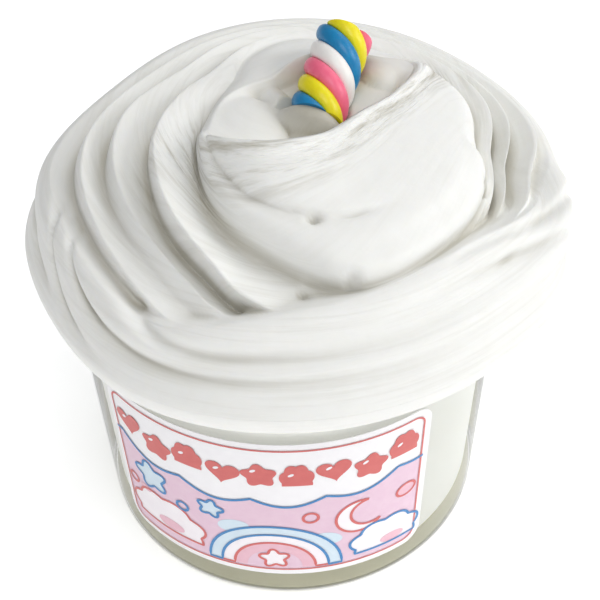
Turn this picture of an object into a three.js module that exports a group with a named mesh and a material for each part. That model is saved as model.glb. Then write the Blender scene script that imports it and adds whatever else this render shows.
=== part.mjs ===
// A clear tub, heaped with soft white marshmallow play slime that was twirled into a swirl, with a paper
// label on the wall and a little twist of four colours pushed into the hollow on top.
// Millimetres, +Z up. The origin is the middle of the tub's flat underside and the label faces -Y.
// A bearing is an angle round +Z in degrees: 0 is the front, towards -Y, and +90 is towards +X.
import * as THREE from "three";

// Tub
const TUB_HEIGHT = 58;
const TUB_RADIUS = 39.2;
const TUB_TAPER = 0.0583;
const TUB_WALL = 1.8;
const TUB_FLOOR = 4.2;
const TUB_HEEL = 1.6;
const TUB_INNER_HEEL = 2.5;
const BEAD_WIDTH = 1.1;
const BEAD_HEIGHT = 2.4;
const TUB_SIDES = 72;

// Label
const LABEL_GAP = 0.3;
const LABEL_THICK = 0.3;
const LABEL_BOTTOM = 7.4;
const LABEL_TOP = 49.8;
const LABEL_HALF_ANGLE = 48;
const LABEL_CORNER = 4;
const LABEL_STEPS = 24;

// Slime: a dome on the tub's mouth, measured from its widest ring
const CLEARANCE = 0.3;
const SWIRL_TURN = 8.5;
const RING_Z = 70;
const DOME_HEIGHT = 23;
const DOME_RADIUS = 52;
const DOME_LEAN = 6;
const DOME_SIDE = 3;
const NECK_RADIUS = 44.4;
const UNDER_ROUND = 2.95;
const UNDER_SAG = 1.44;
const SLIME_SIDES = 100;
const UNDER_ROWS = 6;
// Rows of the crown: out to the hollow's rim, to the head's edge, then valley and ridge by turns, and the skirt
const CROWN_ROWS = [6, 8, 1, 2, 1, 2, 1, 2, 2, 8];

// Hollow on the crown, an egg shape, placed from the tub's axis
const HOLLOW_X = 5;
const HOLLOW_Y = 6.5;
const HOLLOW_LONG = 22.5;
const HOLLOW_WIDE = 11.4;
const HOLLOW_FRONT = 1.26;
const HOLLOW_BACK = 0.62;
const HOLLOW_SKEW = 0.4;
const HOLLOW_TURN = 27;
const HOLLOW_RIM = 2.2;

// Twist of four strands
const TWIST_FAR_END = new THREE.Vector3(12.3, 16.8, 98);
const TWIST_BEARING = 20;
const TWIST_TILT = 20;
const TWIST_LENGTH = 19;
const TWIST_RADIUS = 5.4;
const TWIST_PITCH = 15.5;
const TWIST_STEPS = 30;
const STRAND_ARC_STEPS = 6;
const STRAND_COLOURS = { pink: 0xe8789c, yellow: 0xe6d024, blue: 0x1f7cb6, white: 0xf1ede8 };

// How the outline of the swirl runs round the tub, as [bearing, mm] pairs seen from above.
// A run is the distance down the dome from its crown.
const RING_RADIUS = [[-180, 48.7], [-150, 48.9], [-120, 48], [-90, 52.4], [-60, 53], [-30, 55.3], [0, 54.3],
  [40, 53.2], [65, 54.2], [80, 50.1], [100, 50.8], [130, 49], [155, 48.6]];
const SKIRT_EDGE = [[-180, 38], [-150, 38], [-130, 42], [-110, 46.4], [-95, 48.2], [-80, 48], [-65, 48],
  [-50, 48.6], [-38, 49.4], [-29, 49.4], [-22, 48.2], [-11, 46], [-1, 44.4], [11, 43.6], [23, 42.6], [36, 42.4],
  [49, 43], [64, 45.6], [78, 50], [92, 54], [112, 52.5], [145, 43]];

// How deep the waist round the skirt is
const WAIST_DEPTH = [[-180, 1], [-120, 1], [-80, 0.8], [-30, 0.6], [20, 0.5], [55, 0.8], [75, 1.8], [90, 2.6],
  [105, 2], [130, 1]];

// The folds between the head and the skirt, valley and ridge by turns, from the crown outwards
const FOLD_RUNS = [
  [[-180, 22], [-150, 17], [-120, 12], [-95, 14], [-72, 18.5], [-55, 22.6], [-44, 25.8], [-34, 28.6],
    [-23, 31.4], [-11, 34.6], [-1, 38], [7, 40.8], [15, 42.8], [22, 43], [31, 42.4], [47, 41], [59, 39],
    [66, 37], [76, 35.6], [93, 35.4], [112, 34], [145, 28]],
  [[-180, 25], [-150, 21], [-120, 19.5], [-94, 21.8], [-83, 24], [-69, 27.4], [-53, 30.6], [-35, 34.4],
    [-23, 38], [-15, 41.6], [0, 45], [20, 45.4], [45, 42.6], [57, 40], [66, 38.2], [76, 37.8], [93, 38.8],
    [112, 38], [145, 31]],
  [[-180, 28.5], [-150, 25], [-120, 23.5], [-91, 27.2], [-77, 29.9], [-61, 32.4], [-43, 35.6], [-27, 39],
    [-17, 42.8], [0, 47], [20, 46.8], [45, 43.2], [57, 40.8], [66, 39.4], [76, 40.4], [93, 43], [112, 42],
    [145, 33.5]],
  [[-180, 30.5], [-150, 28], [-125, 27.5], [-108, 30], [-97, 32.4], [-82, 34.3], [-67, 36], [-54, 37.2],
    [-41, 38.6], [-29, 41.2], [-20, 44.4], [0, 48.5], [20, 47.8], [45, 43.8], [58, 41.6], [66, 41], [76, 42.6],
    [93, 45.6], [112, 44.6], [145, 35.5]],
  [[-180, 33], [-150, 31], [-130, 32], [-107, 34.8], [-92, 36.8], [-79, 38.4], [-66, 39.6], [-53, 40.5],
    [-39, 42], [-29, 44.6], [-20, 47.2], [0, 50], [20, 48.8], [42, 44.5], [58, 42.5], [66, 42.5], [76, 44.8],
    [93, 48], [112, 46.8], [145, 38]],
  [[-180, 35], [-150, 33.5], [-130, 35], [-110, 37.6], [-93, 39.6], [-77, 41.4], [-62, 43], [-47, 44.6],
    [-37, 46.4], [-29, 48], [-15, 49.5], [0, 51.5], [20, 50], [38, 45.2], [48, 44.3], [59, 44], [68, 45.2],
    [79, 48.2], [94, 51.6], [112, 50], [145, 40.5]],
  SKIRT_EDGE,
];
const FOLD_LIFTS = [
  [[-180, -1], [-120, -1.4], [-90, -1.2], [-70, -1.6], [-52, -2.4], [-40, -3.8], [-28, -5.6], [-15, -6.6],
    [0, -7], [12, -6.4], [25, -4.6], [45, -3.4], [58, -3.4], [66, -3.4], [76, -3.2], [93, -2.8], [125, -2],
    [150, -1.2]],
  [[-180, 1], [-120, 1.4], [-94, 2], [-70, 2.4], [-45, 2.2], [-23, 1], [-12, -0.8], [0, -3], [20, -4],
    [45, -3.5], [58, -3], [66, -2.4], [76, -1.2], [93, -0.4], [120, 0.2]],
  [[-180, -1.8], [-130, -2.4], [-100, -3.2], [-80, -4.4], [-60, -5], [-43, -5.6], [-27, -6.6], [-15, -6.8],
    [0, -6.4], [40, -5], [58, -3.8], [66, -3.8], [76, -4.4], [93, -4.8], [110, -3.8], [130, -2.4]],
  [[-180, 0.6], [-120, 1], [-97, 1.2], [-70, 0.3], [-50, -0.8], [-30, -1.8], [-20, -2.4], [0, -4], [40, -4.5],
    [58, -3.4], [66, -3], [76, -2], [93, -1], [112, -0.2], [145, 0.4]],
  [[-180, -2], [-130, -2.6], [-107, -3], [-92, -3.2], [-66, -2.8], [-50, -2.4], [-35, -2.6], [-25, -3.2],
    [0, -5], [40, -5], [58, -3.8], [66, -3.8], [76, -4], [93, -4.4], [110, -3.4], [130, -2.4]],
  [[-180, 0.4], [-130, 0.8], [-105, 1], [-80, 0.8], [-62, 0.4], [-47, -0.2], [-33, -0.8], [-20, -2.5], [0, -4],
    [30, -4], [48, -2], [60, -1], [68, -0.4], [79, 0.6], [94, 1], [120, 0.4]],
  [[-180, -3], [-130, -4.2], [-110, -5], [-90, -5.6], [-65, -5.6], [-50, -5.2], [-38, -4.6], [-29, -2.2],
    [-20, -2], [0, -2.8], [20, -2.6], [35, -3], [50, -3.4], [64, -3.6], [78, -3.2], [92, -3], [120, -2.8]],
];
// 0 creases the valley and rounds the ridge, 1 rounds the valley and sharpens the ridge
const FOLD_BENDS = [0.45, 0.25, 0.5, 0.35, 0.75, 0.35];

// The head, the big smooth fold over the front of the others
const HEAD_EDGE = [[-180, 24], [-150, 19], [-120, 15], [-95, 15], [-75, 17.5], [-60, 21], [-50, 23.4],
  [-40, 25.8], [-31, 28], [-20, 31], [-11, 33.6], [0, 37.4], [7, 40], [14, 42], [21, 42.2], [31, 41.4], [47, 40],
  [57, 38.6], [64, 36.6], [74, 34.4], [90, 34], [116, 31.5], [145, 26]];
const HEAD_LIFT = [[-180, 0.8], [-120, 0.8], [-80, 1.2], [-50, 1.6], [-30, 1.9], [-15, 2], [0, 2.1], [15, 2.3],
  [30, 2.4], [60, 2.4], [75, 2], [95, 1.6], [120, 1]];
const HEAD_ROUND = [[-180, 6], [-100, 5], [-60, 3], [-45, 2.6], [-30, 3], [-15, 4], [0, 5], [15, 5], [30, 4.5],
  [50, 4], [70, 5], [95, 5], [120, 6]];
const HEAD_DROP = 1.4;

// The ball, the tall fold on the head, under the hollow
const BALL_EDGE = [[-180, 15], [-120, 13], [-80, 15], [-60, 18.4], [-45, 21], [-31, 23.4], [-18, 26.2], [-7, 28],
  [4, 29.4], [14, 30.2], [27, 31], [45, 30.5], [70, 27], [100, 24], [140, 18]];
const BALL_LIFT = [[-180, 0], [-100, 0.4], [-75, 1.4], [-50, 2.6], [-25, 3], [-5, 2.6], [10, 1.5], [22, 0.6],
  [40, 0.2], [90, 0], [140, 0]];
const BALL_ROUND = 8;

// Two soft grooves along the skirt: where each runs, how deep it is, and half its width
const GROOVES = [
  { line: [[-50, 46], [-35, 49.6], [-28, 51.4], [-20, 52.2], [-1, 51.8], [19, 51], [45, 50]],
    depth: [[-45, 0], [-34, 1.8], [-20, 1.9], [0, 1.2], [25, 0.6], [50, 0.2], [70, 0]], width: 1.4 },
  { line: [[-60, 51], [-49, 53.2], [-40, 54.8], [-30, 55.8], [-10, 55.6], [10, 55], [40, 54.5]],
    depth: [[-64, 0], [-50, 1.5], [-25, 1.6], [0, 1.1], [30, 0.5], [60, 0.2], [80, 0]], width: 1.2 },
];

const radians = (degrees) => degrees * Math.PI / 180;
const clamp = (value, low, high) => Math.min(Math.max(value, low), high);

function smoothStep(t) {
  const k = clamp(t, 0, 1);
  return k * k * (3 - 2 * k);
}

// The larger of two heights, with the corner between them rounded
function softMax(a, b, blend) {
  const h = Math.max(blend - Math.abs(a - b), 0) / blend;
  return Math.max(a, b) + h * h * blend / 4;
}

// 1 at the middle, easing to 0 at the given distance
function swell(distance, reach) {
  const t = Math.min(Math.abs(distance) / reach, 1);
  return (1 - t * t) ** 2;
}

// A closed smooth curve through [bearing, value] pairs
function ringCurve(pairs) {
  const points = [
    ...pairs.slice(-2).map(([bearing, value]) => [bearing - 360, value]),
    ...pairs,
    ...pairs.slice(0, 2).map(([bearing, value]) => [bearing + 360, value]),
  ];
  const slope = (i) => (points[i + 1][1] - points[i - 1][1]) / (points[i + 1][0] - points[i - 1][0]);
  return (bearing) => {
    const x = THREE.MathUtils.euclideanModulo(bearing - pairs[0][0], 360) + pairs[0][0];
    let k = 1;
    while (k < points.length - 3 && points[k + 1][0] <= x) k += 1;
    const [x0, v0] = points[k];
    const [x1, v1] = points[k + 1];
    const span = x1 - x0;
    const t = (x - x0) / span;
    const s = 1 - t;
    const ends = v0 * (1 + 2 * t) * s * s + v1 * t * t * (3 - 2 * t);
    return ends + slope(k) * span * t * s * s - slope(k + 1) * span * t * t * s;
  };
}

// Straight stretches between [place, value] pairs
function lineCurve(pairs) {
  return (x) => {
    let k = 0;
    while (k < pairs.length - 2 && pairs[k + 1][0] <= x) k += 1;
    const t = clamp((x - pairs[k][0]) / (pairs[k + 1][0] - pairs[k][0]), 0, 1);
    return pairs[k][1] + (pairs[k + 1][1] - pairs[k][1]) * t;
  };
}

const ringRadius = ringCurve(RING_RADIUS);
const skirtEdge = ringCurve(SKIRT_EDGE);
const foldRuns = FOLD_RUNS.map(ringCurve);
const foldLifts = FOLD_LIFTS.map(ringCurve);
const headEdge = ringCurve(HEAD_EDGE);
const headLift = ringCurve(HEAD_LIFT);
const headRound = ringCurve(HEAD_ROUND);
const waistDepth = ringCurve(WAIST_DEPTH);
const ballEdge = ringCurve(BALL_EDGE);
const ballLift = ringCurve(BALL_LIFT);
const grooves = GROOVES.map((groove) => (
  { run: ringCurve(groove.line), depth: lineCurve(groove.depth), width: groove.width }
));

// Heights over the dome, in mm, at a bearing and a run
function foldHeight(bearing, run) {
  const runs = foldRuns.map((curve) => curve(bearing));
  const lifts = foldLifts.map((curve) => curve(bearing));
  if (run < runs[0]) return lifts[0] + 0.25 * (runs[0] - run);
  for (let k = 0; k < FOLD_BENDS.length; k += 1) {
    if (run < runs[k + 1]) {
      const [valley, ridge] = k % 2 === 0 ? [k, k + 1] : [k + 1, k];
      const t = clamp((run - runs[valley]) / (runs[ridge] - runs[valley]), 0, 1);
      const round = Math.sin(Math.PI / 2 * t);
      const sharp = 1 - Math.cos(Math.PI / 2 * t);
      return lifts[valley] + (lifts[ridge] - lifts[valley]) * (round + (sharp - round) * FOLD_BENDS[k]);
    }
  }
  return lifts[6] - 0.3 * (run - runs[6]);
}

function skirtHeight(bearing, run) {
  const past = run - skirtEdge(bearing);
  const lip = swell(Math.max(past, 0) - 2, 4);
  const waist = waistDepth(bearing) * swell(run - 57, 4.5);
  return lip - waist - 1.6 * Math.max(-past, 0);
}

function headHeight(bearing, run) {
  const inside = headEdge(bearing) - run;
  const lift = headLift(bearing);
  if (inside < 0) return 1.5 * inside - HEAD_DROP * lift;
  const t = Math.min(inside / headRound(bearing), 1);
  return lift * ((1 + HEAD_DROP) * Math.sqrt(1 - (1 - t) ** 2) - HEAD_DROP);
}

function ballHeight(bearing, run) {
  const t = clamp((ballEdge(bearing) - run) / BALL_ROUND, 0, 1);
  return ballLift(bearing) * Math.sqrt(1 - (1 - t) ** 2);
}

function carved(bearing, run) {
  const depths = grooves.map((groove) => (
    groove.depth(bearing) * Math.exp(-(((run - groove.run(bearing)) / groove.width) ** 2))
  ));
  return depths.reduce((sum, depth) => sum + depth, 0);
}

// A round cushion inside the hollow, from its middle and its two half sizes
function cushion(along, across, place, size) {
  const q = ((along - place[0]) / size[0]) ** 2 + ((across - place[1]) / size[1]) ** 2;
  return Math.sqrt(Math.max(1 - q, 0));
}

// Where a place on the dome lies in the hollow: reach is 1 on its rim
function hollowPlace(point) {
  const turn = radians(HOLLOW_TURN);
  const x = point.x - HOLLOW_X;
  const y = point.y - HOLLOW_Y;
  const along = x * Math.cos(turn) + y * Math.sin(turn);
  const across = y * Math.cos(turn) - x * Math.sin(turn);
  const back = HOLLOW_BACK + (1 - HOLLOW_BACK) * smoothStep((along + 5) / 18);
  const share = across < 0 ? HOLLOW_FRONT : back;
  const half = HOLLOW_WIDE * share * (1 - HOLLOW_SKEW * clamp(along / HOLLOW_LONG, -1, 1));
  return { along, across, reach: Math.hypot(along / HOLLOW_LONG, across / half) };
}

const wallStart = lineCurve([[-180, 0.55], [-150, 0.72], [-90, 0.78], [-30, 0.8], [0, 0.6], [40, 0.4], [90, 0.3],
  [140, 0.45], [180, 0.55]]);
const hollowDepth = lineCurve([[-22, 2.5], [-15, 4], [-9, 6.5], [-3, 9], [8, 9.5], [13, 8.5], [18, 5], [22, 3]]);

function hollowHeight({ along, across, reach }) {
  const start = wallStart(THREE.MathUtils.radToDeg(Math.atan2(across, along)));
  const floor = HOLLOW_RIM - hollowDepth(along) * (1 - smoothStep((reach - start) / (1 - start)));
  const lobe = 5 * cushion(along, across, [-15.5, -1.5], [6.8, 9]) - 2.2;
  const fold = 5.2 * cushion(along, across, [-6.8, -1.5], [3, 10]) - 4;
  const pad = 3 * cushion(along, across, [17.5, 1.5], [5, 5.5]) - 2;
  const lip = 4 * cushion(along, across, [1, -10.4], [6, 2.4]) - 4.8;
  return [lobe, fold, pad, lip].reduce((height, part) => softMax(height, part, 0.8), floor);
}

function rimHeight({ across, reach }) {
  return 1.4 * Math.exp(-(((reach - 1.04) / 0.1) ** 2)) * clamp((4 - across) / 6, 0, 1);
}

function swirlHeight(bearing, run, point) {
  const place = hollowPlace(point);
  const under = softMax(foldHeight(bearing, run), skirtHeight(bearing, run), 1.2);
  const head = headHeight(bearing, run) + ballHeight(bearing, run);
  const height = softMax(under, head, 1) + rimHeight(place) - carved(bearing, run);
  return place.reach < 1 ? Math.min(height, hollowHeight(place)) : height;
}

// The angle down from the crown at a run, along a dome of the usual radius
const ARC_STEPS = 400;
const arcLengths = [0];
for (let i = 1; i <= ARC_STEPS; i += 1) {
  const t = (i - 0.5) / ARC_STEPS * Math.PI / 2;
  const step = Math.hypot(DOME_RADIUS * Math.cos(t), DOME_HEIGHT * Math.sin(t)) * Math.PI / 2 / ARC_STEPS;
  arcLengths.push(arcLengths[i - 1] + step);
}
const RING_RUN = arcLengths[ARC_STEPS];

function domeAngle(run) {
  const i = Math.max(arcLengths.findIndex((length) => length >= Math.min(run, RING_RUN) - 1e-9), 1);
  const part = (run - arcLengths[i - 1]) / (arcLengths[i] - arcLengths[i - 1]);
  return (i - 1 + part) / ARC_STEPS * Math.PI / 2;
}

function aroundAxis(radius, bearing, z, shift) {
  const turn = radians(bearing);
  return new THREE.Vector3(shift.x + radius * Math.sin(turn), shift.y - radius * Math.cos(turn), z);
}

function domePoint(bearing, run) {
  const angle = domeAngle(run);
  const shift = { x: DOME_SIDE, y: DOME_LEAN * Math.cos(angle) };
  return aroundAxis(ringRadius(bearing) * Math.sin(angle), bearing, RING_Z + DOME_HEIGHT * Math.cos(angle), shift);
}

// A point on the crown, pushed out from the smooth dome by the folds
function crownPoint(bearing, run) {
  const angle = domeAngle(run);
  const point = domePoint(bearing, run);
  const normal = aroundAxis(Math.sin(angle) / ringRadius(bearing), bearing, Math.cos(angle) / DOME_HEIGHT,
    { x: 0, y: 0 }).normalize();
  return point.addScaledVector(normal, swirlHeight(bearing, run, point));
}

// How far down the dome the hollow's rim is at a bearing
function rimRun(bearing) {
  let [inside, outside] = [0, RING_RUN / 2];
  for (let i = 0; i < 20; i += 1) {
    const middle = (inside + outside) / 2;
    if (hollowPlace(domePoint(bearing, middle)).reach < 1) inside = middle;
    else outside = middle;
  }
  return outside;
}

// The runs of the crown's rows at a bearing, so that rows lie along rims, valleys and ridges
function crownRuns(bearing) {
  const lines = [rimRun(bearing), headEdge(bearing), ...foldRuns.map((curve) => curve(bearing)), RING_RUN];
  const runs = [];
  let from = 0;
  lines.forEach((line, k) => {
    const to = Math.max(line, from + 0.25 * CROWN_ROWS[k]);
    for (let row = 1; row <= CROWN_ROWS[k]; row += 1) runs.push(from + (to - from) * row / CROWN_ROWS[k]);
    from = to;
  });
  return runs;
}

// A point under the overhang, where the skirt turns in over the tub's rim
function underPoint(bearing, share, edgeLift) {
  const width = ringRadius(bearing) + edgeLift - NECK_RADIUS;
  const drop = RING_Z - TUB_HEIGHT - CLEARANCE;
  const inward = 1 - share ** UNDER_ROUND;
  const z = RING_Z - drop * share ** UNDER_SAG;
  return aroundAxis(NECK_RADIUS + width * inward, bearing, z, { x: DOME_SIDE * inward, y: 0 });
}

const twistDirection = new THREE.Vector3(
  Math.sin(radians(TWIST_BEARING)) * Math.cos(radians(TWIST_TILT)),
  Math.cos(radians(TWIST_BEARING)) * Math.cos(radians(TWIST_TILT)),
  Math.sin(radians(TWIST_TILT)),
);
const twistSide = new THREE.Vector3().crossVectors(twistDirection, new THREE.Vector3(0, 0, 1)).normalize();
const twistUp = new THREE.Vector3().crossVectors(twistSide, twistDirection);

// The trough that the twist lies in: the slime stays under it
function underTwist(point) {
  const from = new THREE.Vector3().subVectors(point, TWIST_FAR_END);
  const flat = Math.cos(radians(TWIST_TILT));
  const back = -(from.x * twistDirection.x + from.y * twistDirection.y) / flat;
  const aside = from.x * twistSide.x + from.y * twistSide.y;
  const along = clamp(back, 0, TWIST_LENGTH * flat);
  const past = Math.abs(back - along);
  const axisZ = TWIST_FAR_END.z - along * Math.tan(radians(TWIST_TILT));
  const deepest = (TWIST_RADIUS + 2 * CLEARANCE) / flat;
  const limit = axisZ - deepest + aside * aside / 8.4 + Math.max(past - 1.5, 0) * 4;
  if (point.z > limit && Math.abs(aside) < 9 && past < 4) point.z = limit;
  return point;
}

// A closed solid from rings of points, each the same way round, with a point at both ends
function solidFromRings(first, rings, last) {
  const sides = rings[0].length;
  const points = [first, ...rings.flat(), last];
  const end = points.length - 1;
  const at = (row, side) => 1 + row * sides + (side % sides);
  const faces = [];
  for (let side = 0; side < sides; side += 1) {
    faces.push(0, at(0, side), at(0, side + 1));
    faces.push(end, at(rings.length - 1, side + 1), at(rings.length - 1, side));
    for (let row = 0; row < rings.length - 1; row += 1) {
      faces.push(at(row, side), at(row + 1, side), at(row + 1, side + 1));
      faces.push(at(row, side), at(row + 1, side + 1), at(row, side + 1));
    }
  }
  const geometry = new THREE.BufferGeometry();
  geometry.setAttribute("position", new THREE.Float32BufferAttribute(points.flatMap((p) => [p.x, p.y, p.z]), 3));
  geometry.setIndex(faces);
  geometry.computeVertexNormals();
  return geometry;
}

function mesh(name, geometry, color, roughness, extra = {}) {
  const made = new THREE.Mesh(geometry, new THREE.MeshStandardMaterial({ color, roughness, metalness: 0, ...extra }));
  made.name = name;
  return made;
}

const wallRadius = (z) => TUB_RADIUS + TUB_TAPER * z;

function tub() {
  const inner = (z) => wallRadius(z) - TUB_WALL;
  const heel = [0.5, 1].map((k) => new THREE.Vector2(
    wallRadius(TUB_HEEL) - TUB_HEEL + TUB_HEEL * Math.sin(k * Math.PI / 2),
    TUB_HEEL - TUB_HEEL * Math.cos(k * Math.PI / 2),
  ));
  const corner = TUB_FLOOR + TUB_INNER_HEEL;
  const innerHeel = [1, 0.5, 0].map((k) => new THREE.Vector2(
    inner(corner) - TUB_INNER_HEEL + TUB_INNER_HEEL * Math.sin(k * Math.PI / 2),
    corner - TUB_INNER_HEEL * Math.cos(k * Math.PI / 2),
  ));
  const bead = TUB_HEIGHT - BEAD_HEIGHT;
  const profile = [
    new THREE.Vector2(0, 0),
    new THREE.Vector2(wallRadius(TUB_HEEL) - TUB_HEEL, 0),
    ...heel,
    new THREE.Vector2(wallRadius(bead - BEAD_WIDTH), bead - BEAD_WIDTH),
    new THREE.Vector2(wallRadius(bead) + BEAD_WIDTH, bead),
    new THREE.Vector2(wallRadius(TUB_HEIGHT) + BEAD_WIDTH, TUB_HEIGHT - 0.5),
    new THREE.Vector2(wallRadius(TUB_HEIGHT) + BEAD_WIDTH - 0.5, TUB_HEIGHT),
    new THREE.Vector2(inner(TUB_HEIGHT), TUB_HEIGHT),
    ...innerHeel,
    new THREE.Vector2(0, TUB_FLOOR),
  ];
  const geometry = new THREE.LatheGeometry(profile, TUB_SIDES).rotateX(Math.PI / 2);
  return mesh("tub", geometry, 0xe9ece8, 0.15, { transparent: true, opacity: 0.35 });
}

function label() {
  const rows = [0, 0.35, 0.75, 1].map((k) => LABEL_CORNER * k);
  const heights = [...rows.map((z) => LABEL_BOTTOM + z), ...rows.reverse().map((z) => LABEL_TOP - z)];
  const point = (z, share, lift) => {
    const toEnd = Math.min(z - LABEL_BOTTOM, LABEL_TOP - z);
    const cut = LABEL_CORNER - Math.sqrt(LABEL_CORNER ** 2 - Math.max(LABEL_CORNER - toEnd, 0) ** 2);
    const radius = wallRadius(z) + LABEL_GAP + lift;
    const reach = LABEL_HALF_ANGLE - THREE.MathUtils.radToDeg(cut / radius);
    return aroundAxis(radius, reach * share, z, { x: 0, y: 0 });
  };
  // Each column is one closed ring round the sheet's thickness
  const shares = Array.from({ length: LABEL_STEPS + 1 }, (_, i) => 2 * i / LABEL_STEPS - 1);
  const rings = shares.map((share) => [
    ...heights.map((z) => point(z, share, LABEL_THICK)),
    ...heights.slice().reverse().map((z) => point(z, share, 0)),
  ]);
  const middle = (ring) => ring.reduce((sum, p) => sum.add(p), new THREE.Vector3()).divideScalar(ring.length);
  return mesh("label", solidFromRings(middle(rings[0]), rings, middle(rings.at(-1))), 0xe9d3df, 0.6);
}

function slime() {
  const bearings = Array.from({ length: SLIME_SIDES }, (_, i) => 360 * i / SLIME_SIDES - 180);
  const columns = bearings.map((b) => crownRuns(b).map((run) => underTwist(crownPoint(b, run))));
  const rings = columns[0].map((_, row) => columns.map((column) => column[row]));
  for (let row = 1; row <= UNDER_ROWS; row += 1) {
    rings.push(bearings.map((b) => {
      const edge = swirlHeight(b, RING_RUN, domePoint(b, RING_RUN));
      return underPoint(b, row / UNDER_ROWS, edge);
    }));
  }
  const inner = (z) => wallRadius(z) - TUB_WALL - CLEARANCE;
  const floor = TUB_FLOOR + CLEARANCE;
  const mouth = TUB_HEIGHT + CLEARANCE;
  const fill = [
    [inner(mouth), mouth],
    [inner(TUB_HEIGHT - 3), TUB_HEIGHT - 3],
    [inner(floor + TUB_INNER_HEEL), floor + TUB_INNER_HEEL],
    [inner(floor) - TUB_INNER_HEEL * 0.3, floor + TUB_INNER_HEEL * 0.3],
    [inner(floor) - TUB_INNER_HEEL, floor],
    [inner(floor) * 0.5, floor],
  ];
  fill.forEach(([radius, z]) => {
    rings.push(bearings.map((b) => aroundAxis(radius, b, z, { x: 0, y: 0 })));
  });
  const crown = underTwist(crownPoint(0, 0));
  return mesh("slime", solidFromRings(crown, rings, new THREE.Vector3(0, 0, floor)), 0xf6f4ef, 0.55);
}

// One strand: a quarter of the twist's section, bulging outwards, swept round the axis
function strand(name, index) {
  const start = index * Math.PI / 2;
  const shift = CLEARANCE / 2 / Math.sin(Math.PI / 4);
  const rings = [];
  for (let step = 0; step <= TWIST_STEPS; step += 1) {
    const along = TWIST_LENGTH * step / TWIST_STEPS;
    const toEnd = Math.min(along, TWIST_LENGTH - along);
    const taper = Math.sqrt(1 - 0.6 * (1 - Math.min(toEnd / 2, 1)) ** 2);
    const middle = start - 2 * Math.PI * along / TWIST_PITCH;
    const centre = TWIST_FAR_END.clone().addScaledVector(twistDirection, -along);
    const place = (radius, angle) => {
      const x = radius * Math.cos(angle) + shift * Math.cos(middle);
      const y = radius * Math.sin(angle) + shift * Math.sin(middle);
      return centre.clone().addScaledVector(twistSide, x).addScaledVector(twistUp, y);
    };
    const ring = [place(0.2, middle)];
    for (let k = 0; k <= STRAND_ARC_STEPS; k += 1) {
      const w = 2 * k / STRAND_ARC_STEPS - 1;
      const radius = (TWIST_RADIUS - shift) * taper * (0.8 + 0.2 * Math.sqrt(1 - (0.93 * w) ** 2));
      ring.push(place(radius, middle + w * Math.PI / 4));
    }
    rings.push(ring);
  }
  return mesh(name, solidFromSections(rings), STRAND_COLOURS[name.replace("twist_", "")], 0.35);
}

// A closed solid from sections. The first point of a section is its inner corner, and the two faces that
// meet there are split the same way, so that neighbouring strands lie face to face.
function solidFromSections(sections) {
  const sides = sections[0].length;
  const at = (row, side) => row * sides + (side % sides);
  const faces = [];
  for (let row = 0; row < sections.length - 1; row += 1) {
    for (let side = 0; side < sides; side += 1) {
      const [a, b, c, d] = [at(row, side), at(row, side + 1), at(row + 1, side + 1), at(row + 1, side)];
      if (side === sides - 1) faces.push(a, b, d, b, c, d);
      else faces.push(a, b, c, a, c, d);
    }
  }
  const last = sections.length - 1;
  for (let side = 1; side < sides - 1; side += 1) {
    faces.push(at(0, 0), at(0, side + 1), at(0, side));
    faces.push(at(last, 0), at(last, side), at(last, side + 1));
  }
  const geometry = new THREE.BufferGeometry();
  const points = sections.flat();
  geometry.setAttribute("position", new THREE.Float32BufferAttribute(points.flatMap((p) => [p.x, p.y, p.z]), 3));
  geometry.setIndex(faces);
  geometry.computeVertexNormals();
  return geometry;
}

const swirl = new THREE.Group();
swirl.rotation.z = radians(SWIRL_TURN);
swirl.add(slime());
Object.keys(STRAND_COLOURS).forEach((colour, index) => swirl.add(strand(`twist_${colour}`, index)));

const part = new THREE.Group();
part.add(tub(), label(), swirl);

export default part;
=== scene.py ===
"""A clear tub heaped with white marshmallow play slime, twirled into a swirl, with a clay twist on top.

Sizes are millimetres and are turned to metres where a mesh is made. A bearing is an angle round +Z in
degrees: 0 is the front, towards -Y, and +90 is towards +X. A run is the distance down the slime's dome
from its crown.
"""
import math

import bmesh
import bpy
import numpy as np
from mathutils import Matrix, Vector

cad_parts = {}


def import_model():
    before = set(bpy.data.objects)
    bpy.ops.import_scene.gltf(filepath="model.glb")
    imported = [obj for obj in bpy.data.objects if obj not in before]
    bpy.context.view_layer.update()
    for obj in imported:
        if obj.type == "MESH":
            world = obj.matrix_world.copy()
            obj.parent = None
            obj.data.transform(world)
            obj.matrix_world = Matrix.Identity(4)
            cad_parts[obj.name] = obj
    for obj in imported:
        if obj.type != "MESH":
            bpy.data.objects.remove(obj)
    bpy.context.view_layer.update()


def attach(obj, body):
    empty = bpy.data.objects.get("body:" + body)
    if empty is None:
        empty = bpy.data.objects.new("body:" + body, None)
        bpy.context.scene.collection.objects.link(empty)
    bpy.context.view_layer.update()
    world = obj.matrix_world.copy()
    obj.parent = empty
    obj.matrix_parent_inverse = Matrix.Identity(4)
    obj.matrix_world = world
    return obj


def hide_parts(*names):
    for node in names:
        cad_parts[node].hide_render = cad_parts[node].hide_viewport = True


MM = 0.001

# Camera and light, in the swirl's own frame, where the camera stands at bearing 0
SWIRL_TURN = 8.5
CAMERA_PLACE = (2.5, -233.5, 271.9)
CAMERA_RISE = 44.09
CAMERA_ROLL = -1.6
CAMERA_LENS = 96
SENSOR = 36
# Soft square lights, in metres: bearing from the camera's side, rise, size, power and colour
LIGHT_DISTANCE = 1.0
LIGHT_AIM = 0.06
LIGHTS = {
    "right_window": (88, 30, 0.5, 3.9, "#ffffff"),
    "front_ceiling": (5, 66, 0.45, 3.2, "#ffffff"),
    "low_front": (15, 4, 0.6, 1.2, "#ffffff"),
    "left_fill": (-45, 30, 0.6, 0.4, "#fbfcff"),
    "back_fill": (140, 40, 0.6, 1.6, "#fcfdff"),
}
FLOOR_REACH = 3000

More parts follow.
